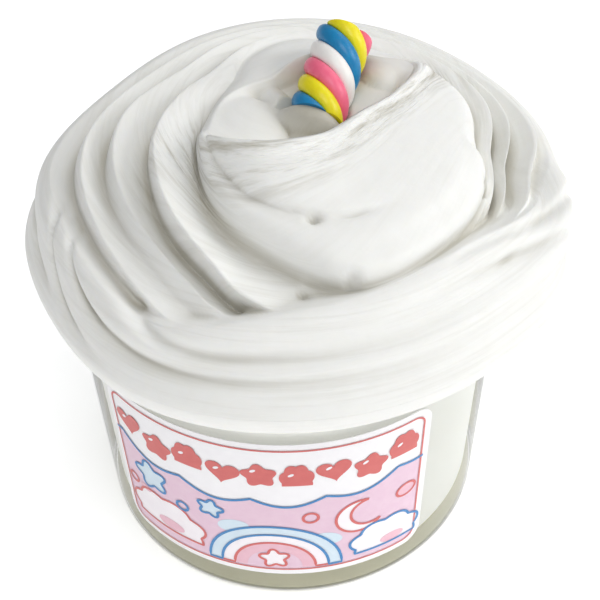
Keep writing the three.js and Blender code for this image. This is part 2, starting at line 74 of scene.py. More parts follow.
# Tub, in millimetres
TUB_HEIGHT = 58
TUB_RADIUS = 39.2
TUB_TAPER = 0.0583
TUB_WALL = 1.8
TUB_FLOOR = 4.2
TUB_HEEL = 1.6
TUB_INNER_HEEL = 2.5
BEAD_WIDTH = 1.1
BEAD_HEIGHT = 2.4
TUB_SIDES = 240

# Label
LABEL_THICK = 0.2
LABEL_BOTTOM = 7.4
LABEL_TOP = 49.8
LABEL_HALF_ANGLE = 48
LABEL_CORNER = 4
LABEL_MARGIN = 1.8
LABEL_RADIUS = 41.0
LABEL_GLUE = 0.02
INK = 0.03
# Corners closer than this on a flat sheet are the same corner
SHEET_MERGE = 0.002

# Slime: a dome on the tub's mouth, measured from its widest ring
RING_Z = 70
DOME_HEIGHT = 23
DOME_RADIUS = 52
DOME_LEAN = 6
DOME_SIDE = 3
NECK_RADIUS = 44.4
NECK_GAP = 0.3
UNDER_ROUND = 2.95
UNDER_SAG = 1.44
# The slime reaches this far into the tub's wall and floor, so that no air gap shows through them
FILL_INTO_WALL = 0.15
FILL_INTO_FLOOR = 0.1
SLIME_SIDES = 340
UNDER_ROWS = 24
# Rows of the crown: out to the hollow's rim, to the head's edge, then valley and ridge by turns, and skirt
CROWN_ROWS = [34, 50, 8, 16, 12, 14, 12, 10, 16, 56]

# Hollow on the crown, an egg shape, placed from the tub's axis
HOLLOW_X = 5
HOLLOW_Y = 6.5
HOLLOW_LONG = 22.5
HOLLOW_WIDE = 11.4
HOLLOW_FRONT = 1.26
HOLLOW_BACK = 0.62
HOLLOW_SKEW = 0.4
HOLLOW_TURN = 27
HOLLOW_RIM = 2.2
RIM_LIP = 1.4
RIM_LIP_REACH = 1.04
RIM_LIP_WIDTH = 0.1
# Where the hollow's wall starts, as a share of its reach, by the angle round it, and its depth by mm along it
HOLLOW_WALL = [(-180, 0.55), (-150, 0.72), (-90, 0.78), (-30, 0.8), (0, 0.6), (40, 0.4), (90, 0.3),
               (140, 0.45), (180, 0.55)]
HOLLOW_DEPTH = [(-22, 2.5), (-15, 4), (-9, 6.5), (-3, 10), (8, 12), (13, 11), (18, 5), (22, 3)]
# Soft forms in the hollow, a lobe, a fold and a pad: height, middle, half sizes and how far it is sunk
HOLLOW_FORMS = [
    (3.8, (-16, -2), (9, 12), 1.9),
    (3.4, (-5.6, -1.5), (3, 11), 3.1),
    (3, (17.5, 1.5), (5, 5.5), 2),
]
FORM_BLEND = 1.8
# A lip of slime over the twist's low end, which is here in the hollow and turned from it by this angle
TWIST_LOW_END = (-1.9, -6.3)
TWIST_LOW_TURN = 43
TWIST_LIP = (7.6, (1.8, -0.5), (3.6, 7), 4.6)

# Twist of four strands
TWIST_FAR_END = (12.3, 16.8, 98)
TWIST_BEARING = 20
TWIST_TILT = 20
TWIST_LENGTH = 19
TWIST_RADIUS = 5.4
TWIST_PITCH = 15.5
STRAND_STEPS = 120
STRAND_END = 2.6
STRAND_TAPER = 0.75
# The slime under the twist: how far it is pressed in, how wide the trough is, and how steep its ends are
TROUGH_PRESS = 0.3
TROUGH_WIDTH = 9.4
TROUGH_END_RISE = 14
TROUGH_HALF = 8
TROUGH_PAST = 3
# How far and how strongly the twist shades the slime beside it
TWIST_SHADE = 3.4
TWIST_SHADE_REACH = 7.5

# The swirl's outline round the tub, and the run at which the skirt starts, as (bearing, mm) pairs
RING_RADIUS = [(-180, 48.7), (-150, 48.9), (-120, 48), (-90, 52.4), (-60, 53), (-30, 55.3), (0, 54.3),
               (40, 53.2), (65, 54.2), (80, 50.1), (100, 50.8), (130, 49), (155, 48.6)]
SKIRT_EDGE = [(-180, 38), (-150, 38), (-130, 42), (-110, 46.4), (-95, 48.2), (-80, 48), (-65, 48),
              (-50, 48.6), (-38, 49.4), (-29, 49.4), (-22, 48.2), (-11, 46), (-1, 44.4), (11, 43.6),
              (23, 42.6), (36, 42.4), (49, 43), (64, 45.6), (78, 48.8), (92, 51), (112, 50), (145, 43)]
# The skirt's rounded upper edge: how far past its start it is fullest, its width, and its fall inwards
LIP_PAST = 2
LIP_REACH = 4
LIP_FALL = 1.6
# How deep the waist round the skirt is, at a run of 57
WAIST_RUN = 57
WAIST_REACH = 4.5
WAIST_DEPTH = [(-180, 1), (-120, 1), (-80, 0.8), (-30, 0.6), (20, 0.5), (55, 0.8), (75, 1.8), (90, 2.6),
               (105, 2), (130, 1)]

# How far the upper half of the skirt stands out, at a run of 52
BULGE_RUN = 52
BULGE_REACH = 5
SKIRT_BULGE = [(-180, 0), (-60, 0), (36, 0), (52, 0.6), (62, 2.2), (71, 4), (79, 3.8), (87, 1.6),
               (96, 0.2), (110, 0)]

# The folds between the head and the skirt, valley and ridge by turns, from the crown outwards
FOLD_RUNS = [
    [(-180, 22), (-150, 17), (-120, 12), (-95, 14), (-72, 18.5), (-55, 22.6), (-44, 25.8), (-34, 28.6),
     (-23, 31.4), (-11, 34.6), (-1, 38), (7, 40.8), (15, 42.8), (22, 43), (31, 42.4), (47, 41),
     (59, 39.2), (66, 37.8), (76, 36.6), (93, 36.2), (112, 34.4), (145, 28)],
    [(-180, 25), (-150, 21), (-120, 19.5), (-94, 21.8), (-83, 24), (-69, 27.4), (-53, 30.6), (-35, 34.4),
     (-23, 38), (-15, 41.6), (0, 45), (20, 45.4), (45, 42.6), (57, 40.4), (66, 39.2), (76, 38.8),
     (93, 38.8), (112, 37.4), (145, 31)],
    [(-180, 28.5), (-150, 25), (-120, 23.5), (-91, 27.2), (-77, 29.9), (-61, 32.4), (-43, 35.6),
     (-27, 39), (-17, 42.8), (0, 47), (20, 46.8), (45, 43.2), (57, 41.4), (66, 40.6), (76, 40.8),
     (93, 41.4), (112, 40.2), (145, 33.5)],
    [(-180, 30.5), (-150, 28), (-125, 27.5), (-108, 30), (-97, 32.4), (-82, 34.3), (-67, 36), (-54, 37.2),
     (-41, 38.6), (-29, 41.2), (-20, 44.4), (0, 48.5), (20, 47.8), (45, 43.8), (58, 42.2), (66, 41.8),
     (76, 42.4), (93, 43.4), (112, 42.6), (145, 35.5)],
    [(-180, 33), (-150, 31), (-130, 32), (-107, 34.8), (-92, 36.8), (-79, 38.4), (-66, 39.6), (-53, 40.5),
     (-39, 42), (-29, 44.6), (-20, 47.2), (0, 50), (20, 48.8), (42, 44.5), (58, 42.9), (66, 43.1),
     (76, 44.4), (93, 45.8), (112, 44.8), (145, 38)],
    [(-180, 35), (-150, 33.5), (-130, 35), (-110, 37.6), (-93, 39.6), (-77, 41.4), (-62, 43), (-47, 44.6),
     (-37, 46.4), (-29, 48), (-15, 49.5), (0, 51.5), (20, 50), (38, 45.2), (48, 44.3), (59, 44.2),
     (68, 45), (79, 46.8), (94, 48.6), (112, 47.4), (145, 40.5)],
    SKIRT_EDGE,
]
FOLD_LIFTS = [
    [(-180, -1), (-120, -1.4), (-90, -1.2), (-70, -1.6), (-52, -2.4), (-40, -3.6), (-28, -4.8), (-15, -5),
     (0, -4.8), (12, -4.4), (25, -3.8), (45, -3.2), (58, -3.4), (66, -3.4), (76, -3.2), (93, -2.8),
     (125, -2), (150, -1.2)],
    [(-180, 1), (-120, 1.4), (-94, 2), (-70, 2.4), (-45, 2.2), (-23, 1), (-12, -0.8), (0, -3), (20, -4),
     (45, -5), (58, -4.6), (66, -3.2), (76, -1.2), (93, -0.2), (120, 0.4)],
    [(-180, -1.8), (-130, -2.4), (-100, -3.2), (-80, -4.4), (-60, -5), (-43, -5.6), (-27, -6.6),
     (-15, -6.8), (0, -6.4), (40, -5.8), (58, -6.4), (66, -7.4), (76, -8.6), (93, -8), (110, -5),
     (130, -2.4)],
    [(-180, 0.6), (-120, 1), (-97, 1.2), (-70, 0.3), (-50, -0.8), (-30, -1.8), (-20, -2.4), (0, -4),
     (40, -4.5), (58, -4.6), (66, -3.8), (76, -2), (93, -0.8), (112, -0.2), (145, 0.4)],
    [(-180, -2), (-130, -2.6), (-107, -3), (-92, -3.2), (-66, -2.8), (-50, -2.4), (-35, -2.6),
     (-25, -3.2), (0, -5), (40, -5), (58, -4.8), (66, -5.4), (76, -6.6), (93, -6.4), (110, -4.4),
     (130, -2.4)],
    [(-180, 0.4), (-130, 0.8), (-105, 1), (-80, 0.8), (-62, 0.4), (-47, -0.2), (-33, -0.8), (-20, -2.5),
     (0, -4), (30, -4), (48, -2), (60, -1), (68, -0.2), (79, 0.8), (94, 1), (120, 0.4)],
    [(-180, -3), (-130, -4.2), (-110, -5), (-90, -5.6), (-65, -5.6), (-50, -5.2), (-38, -4.6),
     (-29, -2.2), (-20, -2), (0, -2.8), (20, -2.6), (35, -3), (50, -3.4), (64, -3.6), (78, -3.2),
     (92, -3), (120, -2.8)],
]
# How steeply the slime falls away inside the first valley and outside the last line
FOLD_INNER_FALL = 0.25
FOLD_OUTER_FALL = 0.3
# 0 creases the valley and rounds the ridge, 1 rounds the valley and sharpens the ridge
FOLD_BENDS = [0.45, 0.25, 0.5, 0.35, 0.75, 0.35]

# The head, the big smooth fold over the front of the others
HEAD_EDGE = [(-180, 24), (-150, 19), (-120, 15), (-95, 15), (-75, 17.5), (-60, 21), (-50, 23.4),
             (-40, 25.8), (-31, 28), (-20, 31), (-11, 33.6), (0, 37.4), (7, 40), (14, 42), (21, 42.2),
             (31, 41.4), (47, 40), (57, 38.6), (65, 37.2), (75, 36), (90, 35.4), (116, 32), (145, 26)]
HEAD_LIFT = [(-180, 0.8), (-120, 0.8), (-80, 1.2), (-50, 1.6), (-30, 1.9), (-15, 2), (0, 2.1), (15, 2.3),
             (30, 2.4), (60, 2.4), (75, 2), (95, 1.6), (120, 1)]
HEAD_ROUND = [(-180, 6), (-100, 5), (-60, 3), (-45, 2.6), (-30, 3), (-15, 4), (0, 5), (15, 5), (30, 4.5),
              (50, 4), (70, 5), (95, 5), (120, 6)]
# How deep the head's edge tucks in, for each millimetre of its lift, and how steeply it falls beyond
HEAD_DROP = 1.4
HEAD_FALL = 1.5

# The ball, the tall fold on the head, under the hollow
BALL_EDGE = [(-180, 15), (-120, 13), (-80, 15), (-60, 18.4), (-45, 21), (-31, 23.4), (-18, 26.2),
             (-7, 28), (4, 29.4), (14, 30.2), (27, 31), (45, 30.5), (70, 27), (100, 24), (140, 18)]
BALL_LIFT = [(-180, 0), (-100, 0.4), (-75, 1.4), (-50, 2.6), (-25, 3), (-5, 2.6), (10, 1.5), (22, 0.6),
             (40, 0.2), (90, 0), (140, 0)]
BALL_ROUND = 8

# How widely the corners are rounded between the folds and the skirt, and between those and the head
SKIRT_BLEND = 1.2
HEAD_BLEND = 1.0

# Soft grooves and fine creases pulled along the slime: where each runs, how deep it is, and half its width
GROOVES = [
    # Under the belly of the ball, inside the head's edge
    ([(12, 37), (17, 37.6), (28, 37.6), (39, 37.2), (49, 36.4), (59, 34.8), (72, 31.5)],
     [(8, 0), (20, 0.7), (40, 1), (55, 0.9), (68, 0.4), (80, 0)], 2.2),
    # Two strata along the skirt
    ([(-50, 46), (-35, 49.6), (-28, 51.4), (-20, 52.2), (-1, 51.8), (19, 51), (45, 50)],
     [(-45, 0), (-34, 1.8), (-20, 1.9), (0, 1.2), (25, 0.6), (50, 0.2), (70, 0)], 1.4),
    ([(-60, 51), (-49, 53.2), (-40, 54.8), (-30, 55.8), (-10, 55.6), (10, 55), (40, 54.5)],
     [(-64, 0), (-50, 1.5), (-25, 1.6), (0, 1.1), (30, 0.5), (60, 0.2), (80, 0)], 1.2),
    # Creases that sweep down the left of the skirt
    ([(-100, 55), (-94, 55.8), (-79, 55), (-71, 57), (-60, 58)],
     [(-105, 0), (-92, 1.2), (-72, 1.2), (-60, 0)], 0.9),
    ([(-80, 47), (-71, 48.6), (-66, 52), (-59, 56), (-51, 58.5), (-40, 59.6)],
     [(-78, 0), (-70, 1.3), (-55, 1.3), (-38, 0)], 0.9),
    ([(-68, 46), (-63, 47.4), (-58, 50.2), (-50, 53), (-40, 55)],
     [(-66, 0), (-60, 1.1), (-50, 1), (-42, 0)], 0.8),
    # Fine folds on the right, inside and outside the main ones
    ([(30, 44), (42, 43.4), (54, 45), (69, 49.4), (85, 55), (95, 57)],
     [(34, 0), (46, 0.8), (75, 1.1), (92, 0)], 0.8),
    ([(20, 47), (35, 46.6), (50, 48), (65, 51.6), (80, 57)],
     [(20, 0), (40, 0.7), (65, 1), (80, 0)], 0.9),
]

# Air holes and slits: bearing, run, half length along the slime, half width and depth
PITS = [(4, 30.4, 1.1, 0.6, 1.6), (18, 30.9, 3.4, 0.4, 0.7), (-15.5, 43.4, 1.3, 1, 2.2),
        (0, 40.8, 1.1, 0.8, 1.8), (12, 40.4, 1.2, 0.9, 1.6), (-37, 48, 1.4, 0.9, 1.5),
        (74, 34.4, 1, 1.2, 2), (64, 37.4, 1, 1, 2), (50.5, 48, 2.4, 0.4, 0.7)]


# Curves and blends

def ring_curve(pairs):
    """A closed smooth curve through (bearing, value) pairs."""
    place = np.array([p[0] for p in pairs], float)
    value = np.array([p[1] for p in pairs], float)
    x = np.concatenate([place[-2:] - 360, place, place[:2] + 360])
    v = np.concatenate([value[-2:], value, value[:2]])
    slope = np.zeros_like(v)
    slope[1:-1] = (v[2:] - v[:-2]) / (x[2:] - x[:-2])

    def at(bearing):
        b = (np.asarray(bearing, float) - place[0]) % 360 + place[0]
        k = np.clip(np.searchsorted(x, b, side="right") - 1, 1, len(x) - 3)
        span = x[k + 1] - x[k]
        t = (b - x[k]) / span
        s = 1 - t
        ends = v[k] * (1 + 2 * t) * s * s + v[k + 1] * t * t * (3 - 2 * t)
        return ends + slope[k] * span * t * s * s - slope[k + 1] * span * t * t * s

    return at


def line_curve(pairs):
    """Straight stretches between (place, value) pairs."""
    places = [p[0] for p in pairs]
    values = [p[1] for p in pairs]
    return lambda x: np.interp(x, places, values)


def smooth_step(t):
    k = np.clip(t, 0, 1)
    return k * k * (3 - 2 * k)


def soft_max(a, b, reach):
    """The larger of two heights, with the corner between them rounded."""
    h = np.maximum(reach - np.abs(a - b), 0) / reach
    return np.maximum(a, b) + h * h * reach / 4


def swell(distance, reach):
    """1 at the middle, easing to 0 at the given distance."""
    t = np.minimum(np.abs(distance) / reach, 1)
    return (1 - t * t) ** 2


ring_radius = ring_curve(RING_RADIUS)
skirt_edge = ring_curve(SKIRT_EDGE)
fold_runs = [ring_curve(pairs) for pairs in FOLD_RUNS]
fold_lifts = [ring_curve(pairs) for pairs in FOLD_LIFTS]
head_edge = ring_curve(HEAD_EDGE)
head_lift = ring_curve(HEAD_LIFT)
head_round = ring_curve(HEAD_ROUND)
waist_depth = ring_curve(WAIST_DEPTH)
skirt_bulge = ring_curve(SKIRT_BULGE)
ball_edge = ring_curve(BALL_EDGE)
ball_lift = ring_curve(BALL_LIFT)
grooves = [(ring_curve(line), line_curve(depth), width) for line, depth, width in GROOVES]
wall_start = line_curve(HOLLOW_WALL)
hollow_depth = line_curve(HOLLOW_DEPTH)


# Heights over the dome, in millimetres, at bearings and runs

def fold_height(bearing, run):
    """The folds, each a quarter wave between the lines of a valley and a ridge."""
    runs = [curve(bearing) for curve in fold_runs]
    lifts = [curve(bearing) for curve in fold_lifts]
    height = lifts[0] + FOLD_INNER_FALL * (runs[0] - run)
    for k, bend in enumerate(FOLD_BENDS):
        valley, ridge = (k, k + 1) if k % 2 == 0 else (k + 1, k)
        t = np.clip((run - runs[valley]) / (runs[ridge] - runs[valley]), 0, 1)
        rounded = np.sin(np.pi / 2 * t)
        sharp = 1 - np.cos(np.pi / 2 * t)
        piece = lifts[valley] + (lifts[ridge] - lifts[valley]) * (rounded + (sharp - rounded) * bend)
        height = np.where(run >= runs[k], piece, height)
    return np.where(run >= runs[-1], lifts[-1] - FOLD_OUTER_FALL * (run - runs[-1]), height)


def skirt_height(bearing, run):
    """The overhanging skirt, with its rounded upper edge, its bulge on the right and its waist."""
    past = run - skirt_edge(bearing)
    lip = swell(np.maximum(past, 0) - LIP_PAST, LIP_REACH)
    bulge = skirt_bulge(bearing) * swell(run - BULGE_RUN, BULGE_REACH)
    waist = waist_depth(bearing) * swell(run - WAIST_RUN, WAIST_REACH)
    return lip + bulge - waist - LIP_FALL * np.maximum(-past, 0)


def head_height(bearing, run):
    """The head's rounded edge, which tucks in over the folds."""
    inside = head_edge(bearing) - run
    lift = head_lift(bearing)
    t = np.clip(inside / head_round(bearing), 0, 1)
    over = lift * ((1 + HEAD_DROP) * np.sqrt(1 - (1 - t) ** 2) - HEAD_DROP)
    return np.where(inside < 0, HEAD_FALL * inside - HEAD_DROP * lift, over)


def ball_height(bearing, run):
    t = np.clip((ball_edge(bearing) - run) / BALL_ROUND, 0, 1)
    return ball_lift(bearing) * np.sqrt(1 - (1 - t) ** 2)


def carved(bearing, run):
    """How far grooves, creases, air holes and slits cut into the slime."""
    depth = 0
    for line, depth_at, width in grooves:
        depth = depth + depth_at(bearing) * np.exp(-(((run - line(bearing)) / width) ** 2))
    for pit_bearing, pit_run, length, width, pit_depth in PITS:
        along = np.radians(bearing - pit_bearing) * run / length
        depth = depth + pit_depth * np.exp(-(along ** 2) - ((run - pit_run) / width) ** 2)
    return depth


def cushion(along, across, form):
    """Heights of a round cushion, from its height, middle, half sizes and how far it is sunk."""
    height, middle, size, sunk = form
    q = ((along - middle[0]) / size[0]) ** 2 + ((across - middle[1]) / size[1]) ** 2
    return height * np.sqrt(np.maximum(1 - q, 0)) - sunk


def hollow_place(point):
    """Where places on the dome lie in the hollow: along, across, and a reach that is 1 on its rim."""
    turn = math.radians(HOLLOW_TURN)
    x = point[..., 0] - HOLLOW_X
    y = point[..., 1] - HOLLOW_Y
    along = x * math.cos(turn) + y * math.sin(turn)
    across = y * math.cos(turn) - x * math.sin(turn)
    half = HOLLOW_WIDE * (1 - HOLLOW_SKEW * np.clip(along / HOLLOW_LONG, -1, 1))
    back = HOLLOW_BACK + (1 - HOLLOW_BACK) * smooth_step((along + 5) / 18)
    half = half * np.where(across < 0, HOLLOW_FRONT, back)
    return along, across, np.hypot(along / HOLLOW_LONG, across / half)


def hollow_height(along, across, reach):
    """The hollow's wall and floor, and the soft forms in it."""
    start = wall_start(np.degrees(np.arctan2(across, along)))
    height = HOLLOW_RIM - hollow_depth(along) * (1 - smooth_step((reach - start) / (1 - start)))
    parts = [cushion(along, across, form) for form in HOLLOW_FORMS]
    turn = math.radians(TWIST_LOW_TURN)
    x, y = along - TWIST_LOW_END[0], across - TWIST_LOW_END[1]
    past = -math.cos(turn) * x - math.sin(turn) * y
    beside = math.sin(turn) * x - math.cos(turn) * y
    parts.append(cushion(past, beside, TWIST_LIP))
    for part in parts:
        height = soft_max(height, part, FORM_BLEND)
    return height


def rim_height(across, reach):
    """The raised lip round the front of the hollow."""
    lip = RIM_LIP * np.exp(-(((reach - RIM_LIP_REACH) / RIM_LIP_WIDTH) ** 2))
    return lip * np.clip((4 - across) / 6, 0, 1)


def swirl_height(bearing, run, point):
    along, across, reach = hollow_place(point)
    under = soft_max(fold_height(bearing, run), skirt_height(bearing, run), SKIRT_BLEND)
    head = head_height(bearing, run) + ball_height(bearing, run)
    height = soft_max(under, head, HEAD_BLEND) + rim_height(across, reach) - carved(bearing, run)
    return np.where(reach < 1, np.minimum(height, hollow_height(along, across, reach)), height)


# The smooth dome

ARC_STEPS = 400
_angles = np.linspace(0, np.pi / 2, ARC_STEPS + 1)
_middles = (_angles[1:] + _angles[:-1]) / 2
_steps = np.hypot(DOME_RADIUS * np.cos(_middles), DOME_HEIGHT * np.sin(_middles)) * np.pi / 2 / ARC_STEPS
ARC_LENGTHS = np.concatenate([[0], np.cumsum(_steps)])
RING_RUN = ARC_LENGTHS[-1]


def around_axis(radius, bearing, z, shift_x=0.0, shift_y=0.0):
    turn = np.radians(bearing)
    x, y, z = np.broadcast_arrays(shift_x + radius * np.sin(turn), shift_y - radius * np.cos(turn), z)
    return np.stack([x, y, z], -1)


def dome_point(bearing, run):
    angle = np.interp(run, ARC_LENGTHS, _angles)
    z = RING_Z + DOME_HEIGHT * np.cos(angle)
    return around_axis(ring_radius(bearing) * np.sin(angle), bearing, z, DOME_SIDE, DOME_LEAN * np.cos(angle))


def crown_point(bearing, run):
    """Points on the crown, pushed out from the smooth dome by the folds."""
    angle = np.interp(run, ARC_LENGTHS, _angles)
    point = dome_point(bearing, run)
    normal = around_axis(np.sin(angle) / ring_radius(bearing), bearing, np.cos(angle) / DOME_HEIGHT)
    normal /= np.linalg.norm(normal, axis=-1, keepdims=True)
    return point + normal * swirl_height(bearing, run, point)[..., None]


def rim_run(bearing):
    """How far down the dome the hollow's rim is at each bearing."""
    inside = np.zeros_like(bearing)
    outside = np.full_like(bearing, RING_RUN / 2)
    for _ in range(20):
        middle = (inside + outside) / 2
        is_in = hollow_place(dome_point(bearing, middle))[2] < 1
        inside = np.where(is_in, middle, inside)
        outside = np.where(is_in, outside, middle)
    return outside


def crown_runs(bearing):
    """The runs of the crown's rows at each bearing, so that rows lie along rims, valleys and ridges."""
    lines = [rim_run(bearing), head_edge(bearing)] + [curve(bearing) for curve in fold_runs]
    lines.append(np.full_like(bearing, RING_RUN))
    rows = []
    start = np.zeros_like(bearing)
    for line, count in zip(lines, CROWN_ROWS):
        end = np.maximum(line, start + 0.03 * count)
        rows += [start + (end - start) * (row + 1) / count for row in range(count)]
        start = end
    return np.array(rows)


def under_point(bearing, share, edge_lift):
    """Points under the overhang, where the skirt turns in over the tub's rim."""
    width = ring_radius(bearing) + edge_lift - NECK_RADIUS
    drop = RING_Z - TUB_HEIGHT - NECK_GAP
    inward = 1 - share ** UNDER_ROUND
    return around_axis(NECK_RADIUS + width * inward, bearing, RING_Z - drop * share ** UNDER_SAG,
                       DOME_SIDE * inward)


# Twist

def twist_axes():
    """Along the twist's axis, level across it, and up across it."""
    bearing, tilt = math.radians(TWIST_BEARING), math.radians(TWIST_TILT)
    along = np.array([math.sin(bearing) * math.cos(tilt), math.cos(bearing) * math.cos(tilt), math.sin(tilt)])
    aside = np.cross(along, (0, 0, 1))
    aside /= np.linalg.norm(aside)
    return along, aside, np.cross(aside, along)


def by_twist(point):
    """Where points lie by the twist, from above: back along it, aside of it, and past its ends."""
    along, aside, _ = twist_axes()
    flat = math.cos(math.radians(TWIST_TILT))
    offset = point - np.array(TWIST_FAR_END)
    back = -(offset[..., 0] * along[0] + offset[..., 1] * along[1]) / flat
    side = offset[..., 0] * aside[0] + offset[..., 1] * aside[1]
    held = np.clip(back, 0, TWIST_LENGTH * flat)
    return held, side, np.abs(back - held)


def under_twist(point):
    """Slime stays under the twist, in a trough that hugs it."""
    flat = math.cos(math.radians(TWIST_TILT))
    held, side, past = by_twist(point)
    axis_z = TWIST_FAR_END[2] - held * math.tan(math.radians(TWIST_TILT))
    limit = axis_z - (TWIST_RADIUS - TROUGH_PRESS) / flat + side * side / TROUGH_WIDTH
    limit += np.maximum(past - 0.1, 0) * TROUGH_END_RISE
    lower = (point[..., 2] > limit) & (np.abs(side) < TROUGH_HALF) & (past < TROUGH_PAST)
    point[..., 2] = np.where(lower, limit, point[..., 2])
    return point


# Mesh making

def turned(points):
    """From the swirl's own frame to the part's."""
    turn = math.radians(SWIRL_TURN)
    x = points[..., 0] * math.cos(turn) - points[..., 1] * math.sin(turn)
    y = points[..., 0] * math.sin(turn) + points[..., 1] * math.cos(turn)
    return np.stack([x, y, points[..., 2]], -1)


def new_object(name, data):
    """An object at the origin, linked to the scene."""
    made = bpy.data.objects.new(name, data)
    bpy.context.scene.collection.objects.link(made)
    return made


def add_mesh(name, points, faces, material):
    """A smooth-shaded mesh object from points in millimetres."""
    data = bpy.data.meshes.new(name)
    data.from_pydata((np.asarray(points) * MM).tolist(), [], faces)
    data.update()
    data.shade_smooth()
    data.materials.append(material)
    return new_object(name, data)


def rings_to_solid(first, rings, last):
    """Points and faces of a closed solid from rings (rows, sides, 3), with a point at both ends."""
    rows, sides = rings.shape[:2]
    points = np.concatenate([[first], rings.reshape(-1, 3), [last]])
    side = np.arange(sides)
    after = (side + 1) % sides
    grid = 1 + np.arange(rows)[:, None] * sides
    quads = np.stack([grid[:-1] + side, grid[1:] + side, grid[1:] + after, grid[:-1] + after], -1)
    quads = quads.reshape(-1, 4)
    end = len(points) - 1
    caps = [(0, 1 + s, 1 + n) for s, n in zip(side, after)]
    caps += [(end, int(grid[-1, 0]) + n, int(grid[-1, 0]) + s) for s, n in zip(side, after)]
    return points, quads.tolist() + [tuple(int(v) for v in cap) for cap in caps]


# Materials

def linear(hex_colour):
    """An sRGB hex colour as linear RGBA."""
    channels = [int(hex_colour[i:i + 2], 16) / 255 for i in (1, 3, 5)]
    return tuple(c / 12.92 if c <= 0.04045 else ((c + 0.055) / 1.055) ** 2.4 for c in channels) + (1.0,)


def new_material(name):
    """A material, its node tree, and the output that gives the place on the piece."""
    material = bpy.data.materials.new(name)
    material.use_nodes = True
    tree = material.node_tree
    tree.nodes.clear()
    return material, tree, node(tree, "ShaderNodeTexCoord").outputs["Object"]


def node(tree, kind, settings=None, **links):
    """Adds a node with its settings. A link is a value, or an output socket, for the input of that name."""
    added = tree.nodes.new(kind)
    for key, value in (settings or {}).items():
        setattr(added, key, value)
    for key, value in links.items():
        index = key[1:] if key[0] == "i" and key[1:].isdigit() else None
        socket = added.inputs[int(index)] if index else added.inputs[key.replace("_", " ")]
        if isinstance(value, bpy.types.NodeSocket):
            tree.links.new(value, socket)
        else:
            socket.default_value = value
    return added


def maths(tree, operation, *values, clamp=False):
    settings = {"operation": operation, "use_clamp": clamp}
    inputs = {f"i{k}": value for k, value in enumerate(values)}
    return node(tree, "ShaderNodeMath", settings, **inputs).outputs["Value"]


def noise(tree, place, scale, detail, roughness=0.5):
    added = node(tree, "ShaderNodeTexNoise", Vector=place, Scale=scale, Detail=detail, Roughness=roughness)
    return added.outputs["Fac"]


def blend(tree, share, low, high):
    """A colour between two, each a hex colour or an output."""
    low, high = [linear(end) if isinstance(end, str) else end for end in (low, high)]
    return node(tree, "ShaderNodeMix", {"data_type": "RGBA"}, Factor=share, i6=low, i7=high).outputs[2]


def spread(tree, value, low, high, start=0.0, end=1.0):
    """A value from start to end, spread from low to high."""
    added = node(tree, "ShaderNodeMapRange", Value=value, i1=start, i2=end, i3=low, i4=high)
    return added.outputs["Result"]


def bump(tree, height, strength, distance, **under):
    added = node(tree, "ShaderNodeBump", Height=height, Strength=strength, Distance=distance, **under)
    return added.outputs["Normal"]


def layer(tree, name, output="Fac"):
    """One of the slime's point attributes, which add_layers sets."""
    return node(tree, "ShaderNodeAttribute", {"attribute_name": name}).outputs[output]


def finish(tree, **looks):
    shader = node(tree, "ShaderNodeBsdfPrincipled", **looks)
    node(tree, "ShaderNodeOutputMaterial", Surface=shader.outputs["BSDF"])


def slime_material():
    """Whipped slime, glue and borax beaten full of air: satin and faintly translucent, in pulled layers."""
    material, tree, place = new_material("whipped_slime")
    pull = layer(tree, "pull")
    # Layers about 1 mm apart with finer ones in them, which follow the folds
    layers = noise(tree, layer(tree, "strata", "Vector"), 0.9, 4.0, 0.62)
    # Soft unevenness about 4 mm across, and fine air bubbles, 0.4 mm apart
    soft = noise(tree, place, 260.0, 3.0)
    bubbles = noise(tree, place, 2500.0, 2.0, 0.6)
    relief = bump(tree, maths(tree, "MULTIPLY", layers, pull), 0.8, 0.0006)
    relief = bump(tree, soft, 0.3, 0.0005, Normal=relief)
    relief = bump(tree, bubbles, 0.2, 0.00008, Normal=relief)
    # Cream white, with painted shade: a warmer grey deep in the valleys, round the twist and in the grooves
    # between pulled layers
    lines = maths(tree, "MULTIPLY", spread(tree, layers, 0.0, 0.4, 0.52, 0.32), pull)
    depth = maths(tree, "MULTIPLY_ADD", layer(tree, "valley"), 0.3, lines, clamp=True)
    cream = blend(tree, soft, "#f5f5f2", "#f0f0eb")
    # Painted light: the slime pressed on the clear wall glows a little, standing in for light that the wall
    # carries down to it
    painted_glow = maths(tree, "MULTIPLY", layer(tree, "pressed"), 0.22)
    finish(tree, Base_Color=blend(tree, depth, cream, "#b4af9f"), Roughness=spread(tree, layers, 0.4, 0.58),
           IOR=1.42, Subsurface_Weight=0.12, Subsurface_Radius=(1.0, 0.85, 0.6), Subsurface_Scale=0.0015,
           Specular_IOR_Level=0.35, Normal=relief, Emission_Color=linear("#fdfdfa"), Emission_Strength=painted_glow)
    return material


def clear_plastic():
    """Moulded clear polystyrene: glossy, nearly colourless, with faint flow marks round the wall."""
    material, tree, place = new_material("clear_polystyrene")
    flow = noise(tree, place, 45.0, 2.0)
    marks = bump(tree, flow, 0.1, 0.0004)
    clear = node(tree, "ShaderNodeBsdfTransparent", Color=linear("#fdfefb"))
    shine = node(tree, "ShaderNodeBsdfGlossy", Roughness=spread(tree, flow, 0.04, 0.1), Normal=marks)
    edge = node(tree, "ShaderNodeFresnel", IOR=1.5, Normal=marks)
    shader = node(tree, "ShaderNodeMixShader", Fac=edge.outputs["Fac"], i1=clear.outputs["BSDF"],
                  i2=shine.outputs["BSDF"])
    node(tree, "ShaderNodeOutputMaterial", Surface=shader.outputs["Shader"])
    return material


def base_plastic():
    """The tub's thick clear floor, seen edge on, where the plastic gathers a faint olive grey."""
    material, tree, place = new_material("thick_polystyrene")
    tint = blend(tree, noise(tree, place, 120.0, 3.0), "#c3bf9e", "#d2ceb4")
    finish(tree, Base_Color=tint, Roughness=0.12, IOR=1.5)
    return material


